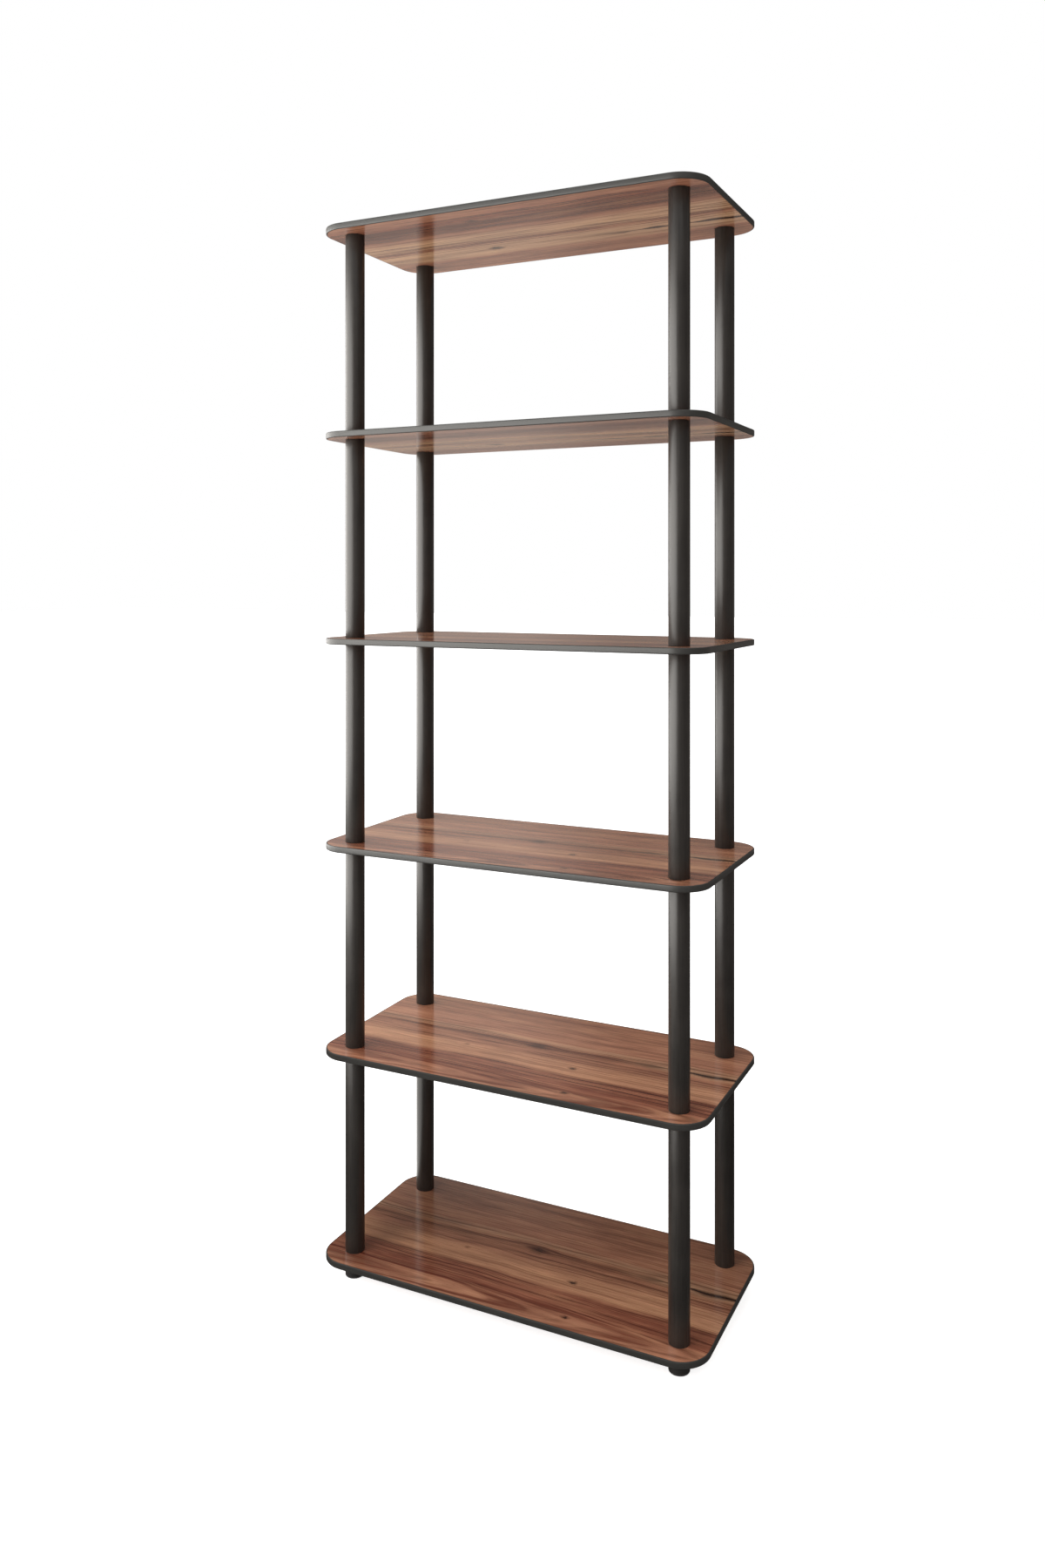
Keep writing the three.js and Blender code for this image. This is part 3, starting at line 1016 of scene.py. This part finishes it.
world = bpy.data.worlds.new("white_studio")
world.use_nodes = True
bpy.context.scene.world = world
tree = world.node_tree
tree.nodes.clear()
direction = add_node(tree, "ShaderNodeTexCoord", output="Generated")
towards = add_node(
    tree, "ShaderNodeVectorMath", {0: direction, 1: WINDOW_SIDE}, "Value", operation="DOT_PRODUCT"
)
shading = add_node(
    tree,
    "ShaderNodeMapRange",
    {"Value": towards, "From Min": -1, "From Max": 1, "To Min": WORLD_FAR, "To Max": WORLD_NEAR_WINDOW},
)
strength = add_node(
    tree, "ShaderNodeMapRange", {"Value": seen_directly(tree), "To Min": shading, "To Max": 1}
)
sky = add_node(tree, "ShaderNodeBackground", {"Color": grey(1), "Strength": strength})
add_node(tree, "ShaderNodeOutputWorld", {"Surface": sky}, output=None)
print("world light:", WORLD_FAR, "to", WORLD_NEAR_WINDOW)

# %% Floor
FLOOR_HALF = 30.0
FLOOR_PAINT = linear("#E2E2E2")
FLOOR_LIFT = 0.75  # added where the floor is seen, so that it shows white beside its shadow


def stage_sheet(name, centre, half_sizes, turn, material):
    """A flat sheet for the studio, which isn't part of the bookcase."""
    bm = bmesh.new()
    bmesh.ops.create_grid(bm, x_segments=1, y_segments=1, size=1)
    bmesh.ops.scale(bm, verts=bm.verts, vec=(*half_sizes, 1))
    bmesh.ops.rotate(bm, verts=bm.verts, matrix=Matrix.Rotation(*turn))
    bmesh.ops.translate(bm, verts=bm.verts, vec=centre)
    mesh = bpy.data.meshes.new(name)
    bm.to_mesh(mesh)
    bm.free()
    mesh.materials.append(material)
    sheet = bpy.data.objects.new(name, mesh)
    bpy.context.collection.objects.link(sheet)
    return sheet


# Turns of a sheet, as an angle, the size of the matrix and an axis
FLAT = (0, 3, "X")
UPRIGHT = (math.pi / 2, 3, "X")
SIDEWAYS = (math.pi / 2, 3, "Y")

floor_paint, tree = new_material("white_floor_paint")
lift = add_node(
    tree, "ShaderNodeMath", {0: seen_directly(tree), 1: FLOOR_LIFT}, operation="MULTIPLY"
)
paint = add_node(tree, "ShaderNodeBsdfDiffuse", {"Color": FLOOR_PAINT})
glow = add_node(tree, "ShaderNodeEmission", {"Strength": lift})
both = add_node(tree, "ShaderNodeAddShader", {0: paint, 1: glow})
add_node(tree, "ShaderNodeOutputMaterial", {"Surface": both}, output=None)
stage_sheet("floor", (0, 0, 0), (FLOOR_HALF, FLOOR_HALF), FLAT, floor_paint)
print("floor:", 2 * FLOOR_HALF, "m square")

# %% Cloth behind
# It glows by itself, brighter at its left than at its right, and both sides change with height, as lit walls
# do.
WARM_GREY = linear("#FFF3EA")
CLOTH_LEFT, CLOTH_RIGHT = -2.1, -1.3  # places along x between which the brightness changes
CLOTH_MIDDLE = -0.5
CLOTH_AWAY = 4.0
CLOTH_HALF_WIDTH = 7.0
CLOTH_TOP = 4.4

# Each side has heights in metres and the brightness there.
LEFT_SIDE = [(0.4, 0.64), (0.77, 0.37), (1.18, 0.25), (1.6, 0.6), (2.15, 0.7), (2.38, 0.08)]
RIGHT_SIDE = [(0.4, 0.3), (0.75, 0.23), (1.0, 0.22), (1.18, 0.19), (1.6, 0.25), (1.95, 0.12), (2.4, 0.05)]


def reflected_cloth(name, centre, half_sizes, turn, glow_sheet):
    """A glowing stage sheet that only the shine of the object shows."""
    cloth = stage_sheet(name, centre, half_sizes, turn, glow_sheet)
    cloth.visible_camera = False
    cloth.visible_diffuse = False
    cloth.visible_shadow = False


glow_sheet, tree = new_material("grey_glow_sheet_behind")
place = add_node(tree, "ShaderNodeTexCoord", output="Object")
height = add_node(tree, "ShaderNodeSeparateXYZ", {0: place}, "Z")
height = add_node(tree, "ShaderNodeMath", {0: height, 1: CLOTH_TOP}, operation="DIVIDE")
side = add_node(tree, "ShaderNodeSeparateXYZ", {0: place}, "X")
left, right = [
    add_node(
        tree, "ShaderNodeValToRGB", {0: height}, stops=[(z / CLOTH_TOP, grey(value)) for z, value in stops]
    )
    for stops in (LEFT_SIDE, RIGHT_SIDE)
]
brightness = add_node(
    tree,
    "ShaderNodeMapRange",
    {"Value": side, "From Min": CLOTH_LEFT, "From Max": CLOTH_RIGHT, "To Min": left, "To Max": right},
    interpolation_type="SMOOTHSTEP",
)
glow = add_node(tree, "ShaderNodeEmission", {"Color": WARM_GREY, "Strength": brightness})
add_node(tree, "ShaderNodeOutputMaterial", {"Surface": glow}, output=None)
cloth_centre = (CLOTH_MIDDLE, CLOTH_AWAY, CLOTH_TOP / 2)
reflected_cloth("cloth_behind", cloth_centre, (CLOTH_HALF_WIDTH, CLOTH_TOP / 2), UPRIGHT, glow_sheet)
print("cloth behind:", 2 * CLOTH_HALF_WIDTH, "m wide")

# %% Cloths at the other sides and on the floor
# Each glows by itself, and has a centre, half sizes, a turn and the brightness of its glow.
CLOTHS = {
    "cloth_in_front": ((0, -4.0, 2.2), (6.0, 2.2), UPRIGHT, 0.4),
    "cloth_at_left": ((-4.0, 0, 2.2), (2.2, 4.0), SIDEWAYS, 0.4),
    "cloth_at_right": ((1.9, 0.3, 1.6), (1.6, 1.6), SIDEWAYS, 0.2),
    "cloth_on_floor": ((-0.2, 0.0, 0.002), (3.8, 4.0), FLAT, 0.08),
}

for name, (centre, half_sizes, turn, brightness) in CLOTHS.items():
    glow_sheet, tree = new_material(name + "_glow_sheet")
    glow = add_node(tree, "ShaderNodeEmission", {"Color": WARM_GREY, "Strength": brightness})
    add_node(tree, "ShaderNodeOutputMaterial", {"Surface": glow}, output=None)
    reflected_cloth(name, centre, half_sizes, turn, glow_sheet)
print("cloths:", len(CLOTHS))

# %% Flags round the bottom bay
# Little light reaches the left and the back of the lowest shelf. A photographer would keep it off with
# black flags. Neither the camera nor a reflection sees them. Each has a centre, half sizes and a turn.
FLAGS = {
    "flag_behind": ((0.0, 0.18, 0.21), (0.42, 0.13), UPRIGHT),
    "flag_at_left": ((-0.34, 0.0, 0.21), (0.13, 0.19), SIDEWAYS),
    "flag_at_right": ((0.36, 0.1, 0.21), (0.12, 0.1), SIDEWAYS),
}

flag_black, tree = new_material("black_flag_velvet")
velvet = add_node(tree, "ShaderNodeBsdfDiffuse", {"Color": linear("#202020")})  # swallows nearly all light
add_node(tree, "ShaderNodeOutputMaterial", {"Surface": velvet}, output=None)
for name, (centre, half_sizes, turn) in FLAGS.items():
    flag = stage_sheet(name, centre, half_sizes, turn, flag_black)
    flag.visible_camera = False
    flag.visible_glossy = False
print("flags:", len(FLAGS))

# %% Lamps
# Each lamp has a place, a direction, a width and height, and a radiance in units where 1 is white. The
# window gives only diffuse light. The other two give only shine, and only to some of the plastics, so that
# the boards show no glare. One is the window's own shine. The other is a low pane at the left, whose shine
# reaches the back left post's lowest tube.
WINDOW_FACING = (0.84, 0.54, 0)
WINDOW_COLOUR = linear("#FFFDF9")[:3]
LAMPS = {
    "window": ((-1.25, -1.05, 1.2), WINDOW_FACING, (3.1, 1.8), 2.2),
    "window_shine": ((-1.34, -0.82, 1.11), WINDOW_FACING, (4.5, 1.72), 5.2),
    "low_pane_shine": ((-0.345, 0.0, 0.17), (1, 0, 0), (0.6, 0.33), 2.4),
}
STRIPS_BELOW_SHINE = 2  # the window's shine passes over the lowest strips
RECEIVERS = {
    "window_shine": strips[STRIPS_BELOW_SHINE:] + tubes + mouldings,
    "low_pane_shine": [bpy.data.objects["pvc_tube_back_left_1"]],
}

for name, (centre, facing, (width, height), radiance) in LAMPS.items():
    data = bpy.data.lights.new(name, "AREA")
    data.shape = "RECTANGLE"
    data.size, data.size_y = width, height
    data.color = WINDOW_COLOUR
    data.energy = math.pi * width * height * radiance
    lamp = bpy.data.objects.new(name, data)
    lamp.location = centre
    lamp.rotation_euler = Vector(facing).to_track_quat("-Z", "Y").to_euler()
    lamp.visible_camera = False
    bpy.context.collection.objects.link(lamp)
    if name in RECEIVERS:
        receivers = bpy.data.collections.new(name + "_receivers")
        for piece in RECEIVERS[name]:
            receivers.objects.link(piece)
        lamp.visible_diffuse = False
        lamp.light_linking.receiver_collection = receivers
    else:
        lamp.visible_glossy = False
    print(name, "gives", round(data.energy), "W")
